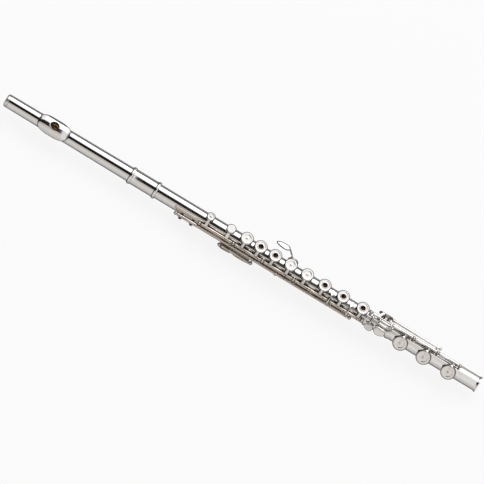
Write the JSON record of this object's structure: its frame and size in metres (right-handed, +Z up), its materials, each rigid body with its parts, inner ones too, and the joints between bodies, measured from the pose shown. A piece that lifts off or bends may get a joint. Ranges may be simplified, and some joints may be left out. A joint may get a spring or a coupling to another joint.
{
  "type": "concert flute",
  "caption": "Open-hole concert flute with tuning head joint, in-line body and long foot joint, every key, trill and thumb lever on its own sprung hinge.",
  "frame": {"origin": "on the tube axis under the middle of the embouchure hole", "axes": "+X runs along the tube to the foot, +Z up through the body cups, -Y is the player's side"},
  "size_m": [0.709, 0.0467, 0.0406],
  "materials": {
    "tube_silver": "polished silver tube",
    "key_silver": "polished silver keywork, slightly warm",
    "hinge_steel": "oiled steel",
    "pad_felt": "felt under thin skin",
    "cork": "natural cork"
  },
  "bodies": {
    "body": {"body_tube": "tube_silver", "barrel": "tube_silver", "main_rib": "tube_silver", "thumb_rib": "tube_silver", "g_sharp_rib": "tube_silver", "upper_steel": "hinge_steel", "lower_steel": "hinge_steel", "thumb_steel": "hinge_steel", "g_sharp_steel": "hinge_steel"},
    "head": {"head_tube": "tube_silver", "lip_plate": "tube_silver", "embouchure_riser": "tube_silver"},
    "crown": {"crown": "tube_silver"},
    "stopper": {"stopper_screw": "hinge_steel", "stopper_cork": "cork"},
    "foot": {"foot_tube": "tube_silver", "foot_rib": "tube_silver"},
    "c_sharp": {"c_sharp_key": "key_silver", "c_sharp_pad": "pad_felt"},
    "b_flat": {"b_flat_key": "key_silver", "b_flat_pad": "pad_felt"},
    "a": {"a_key": "key_silver", "a_pad": "pad_felt"},
    "g": {"g_key": "key_silver", "g_pad": "pad_felt", "lower_g_pad": "pad_felt"},
    "f_sharp": {"f_sharp_key": "key_silver", "f_sharp_pad": "pad_felt"},
    "f": {"f_key": "key_silver", "f_pad": "pad_felt"},
    "e": {"e_key": "key_silver", "e_pad": "pad_felt"},
    "d": {"d_key": "key_silver", "d_pad": "pad_felt"},
    "d_sharp_trill": {"d_sharp_trill_key": "key_silver", "d_sharp_trill_pad": "pad_felt", "d_sharp_trill_touch": "key_silver"},
    "d_trill": {"d_trill_key": "key_silver", "d_trill_pad": "pad_felt", "d_trill_touch": "key_silver"},
    "thumb_b": {"thumb_b_key": "key_silver", "thumb_b_pad": "pad_felt"},
    "thumb_b_flat": {"thumb_b_flat_key": "key_silver"},
    "g_sharp": {"g_sharp_key": "key_silver", "g_sharp_pad": "pad_felt"},
    "d_sharp": {"d_sharp_key": "key_silver", "d_sharp_pad": "pad_felt"},
    "low_c_sharp": {"low_c_sharp_key": "key_silver", "low_c_sharp_pad": "pad_felt"},
    "low_c_sharp_roller": {"low_c_sharp_roller": "key_silver"},
    "low_c": {"low_c_key": "key_silver", "low_c_pad": "pad_felt"},
    "low_c_roller": {"low_c_roller": "key_silver"},
    "low_b": {"low_b_key": "key_silver", "low_b_pad": "pad_felt"},
    "low_b_roller": {"low_b_roller": "key_silver"}
  },
  "joints": [
    {"name": "head_tuning_slide", "type": "slide", "parent": "body", "child": "head", "axis": [-1, 0, 0], "range_m": [0, 0.012]},
    {"name": "crown_turn", "type": "hinge", "parent": "head", "child": "crown", "pos_m": [-0.067, 0, 0], "axis": [1, 0, 0], "range_deg": [-360, 360]},
    {"name": "stopper_slide", "type": "slide", "parent": "head", "child": "stopper", "axis": [1, 0, 0], "range_m": [-0.001, 0.001]},
    {"name": "foot_turn", "type": "hinge", "parent": "body", "child": "foot", "pos_m": [0.4685, 0, 0], "axis": [1, 0, 0], "range_deg": [-15, 15]},
    {"name": "c_sharp_hinge", "type": "hinge", "parent": "body", "child": "c_sharp", "pos_m": [0.23156, -0.01286, 0.00773], "axis": [1, 0, 0], "range_deg": [-9, 0], "stiffness_Nm_per_rad": 0.012, "springref_deg": 22.92},
    {"name": "b_flat_hinge", "type": "hinge", "parent": "body", "child": "b_flat", "pos_m": [0.28553, -0.01286, 0.00773], "axis": [1, 0, 0], "range_deg": [-9, 0], "stiffness_Nm_per_rad": 0.012, "springref_deg": 22.92},
    {"name": "a_hinge", "type": "hinge", "parent": "body", "child": "a", "pos_m": [0.30623, -0.01286, 0.00773], "axis": [1, 0, 0], "range_deg": [-9, 0], "stiffness_Nm_per_rad": 0.012, "springref_deg": 22.92},
    {"name": "g_hinge", "type": "hinge", "parent": "body", "child": "g", "pos_m": [0.32815, -0.01286, 0.00773], "axis": [1, 0, 0], "range_deg": [-9, 0], "stiffness_Nm_per_rad": 0.012, "springref_deg": 22.92},
    {"name": "f_sharp_hinge", "type": "hinge", "parent": "body", "child": "f_sharp", "pos_m": [0.37599, -0.01286, 0.00773], "axis": [1, 0, 0], "range_deg": [-9, 0], "stiffness_Nm_per_rad": 0.012, "springref_deg": 22.92},
    {"name": "f_hinge", "type": "hinge", "parent": "body", "child": "f", "pos_m": [0.40207, -0.01286, 0.00773], "axis": [1, 0, 0], "range_deg": [-9, 0], "stiffness_Nm_per_rad": 0.012, "springref_deg": 22.92},
    {"name": "e_hinge", "type": "hinge", "parent": "body", "child": "e", "pos_m": [0.42969, -0.01286, 0.00773], "axis": [1, 0, 0], "range_deg": [-9, 0], "stiffness_Nm_per_rad": 0.012, "springref_deg": 22.92},
    {"name": "d_hinge", "type": "hinge", "parent": "body", "child": "d", "pos_m": [0.45896, -0.01286, 0.00773], "axis": [1, 0, 0], "range_deg": [-9, 0], "stiffness_Nm_per_rad": 0.012, "springref_deg": 22.92},
    {"name": "d_sharp_trill_hinge", "type": "hinge", "parent": "body", "child": "d_sharp_trill", "pos_m": [0.19773, -0.01427, 0.001], "axis": [1, 0, 0], "range_deg": [-7, 0], "stiffness_Nm_per_rad": 0.012, "springref_deg": 22.92},
    {"name": "d_trill_hinge", "type": "hinge", "parent": "body", "child": "d_trill", "pos_m": [0.21416, -0.01427, 0.001], "axis": [1, 0, 0], "range_deg": [-7, 0], "stiffness_Nm_per_rad": 0.012, "springref_deg": 22.92},
    {"name": "thumb_b_hinge", "type": "hinge", "parent": "body", "child": "thumb_b", "pos_m": [0.266, -0.01626, -0.00712], "axis": [1, 0, 0], "range_deg": [0, 11], "stiffness_Nm_per_rad": 0.012, "springref_deg": -22.92},
    {"name": "thumb_b_flat_hinge", "type": "hinge", "parent": "body", "child": "thumb_b_flat", "pos_m": [0.292, -0.01626, -0.00712], "axis": [1, 0, 0], "range_deg": [0, 11], "stiffness_Nm_per_rad": 0.012, "springref_deg": -22.92},
    {"name": "g_sharp_hinge", "type": "hinge", "parent": "body", "child": "g_sharp", "pos_m": [0.35138, 0.00586, -0.01381], "axis": [1, 0, 0], "range_deg": [-8, 0], "stiffness_Nm_per_rad": 0.012, "springref_deg": 22.92},
    {"name": "d_sharp_hinge", "type": "hinge", "parent": "foot", "child": "d_sharp", "pos_m": [0.48997, 0.00131, 0.01494], "axis": [1, 0, 0], "range_deg": [0, 7], "stiffness_Nm_per_rad": 0.012, "springref_deg": -22.92},
    {"name": "low_c_sharp_hinge", "type": "hinge", "parent": "foot", "child": "low_c_sharp", "pos_m": [0.52282, 0.00131, 0.01494], "axis": [1, 0, 0], "range_deg": [0, 7], "stiffness_Nm_per_rad": 0.012, "springref_deg": -22.92},
    {"name": "low_c_sharp_roller_spin", "type": "hinge", "parent": "low_c_sharp", "child": "low_c_sharp_roller", "pos_m": [0.487, -0.01286, 0.01548], "axis": [1, 0, 0], "continuous": true},
    {"name": "low_c_hinge", "type": "hinge", "parent": "foot", "child": "low_c", "pos_m": [0.55763, 0.00131, 0.01494], "axis": [1, 0, 0], "range_deg": [0, 7], "stiffness_Nm_per_rad": 0.012, "springref_deg": -22.92},
    {"name": "low_c_roller_spin", "type": "hinge", "parent": "low_c", "child": "low_c_roller", "pos_m": [0.487, -0.00855, 0.01782], "axis": [1, 0, 0], "continuous": true},
    {"name": "low_b_hinge", "type": "hinge", "parent": "foot", "child": "low_b", "pos_m": [0.5945, 0.00131, 0.01494], "axis": [1, 0, 0], "range_deg": [0, 7], "stiffness_Nm_per_rad": 0.012, "springref_deg": -22.92},
    {"name": "low_b_roller_spin", "type": "hinge", "parent": "low_b", "child": "low_b_roller", "pos_m": [0.487, -0.00378, 0.01897], "axis": [1, 0, 0], "continuous": true}
  ],
  "couplings": [
    {"joint": "stopper_slide", "follows": "crown_turn", "m_per_rad": 0.000159},
    {"joint": "b_flat_hinge", "follows": "a_hinge", "ratio": 1},
    {"joint": "f_sharp_hinge", "follows": "f_hinge", "ratio": 1}
  ]
}
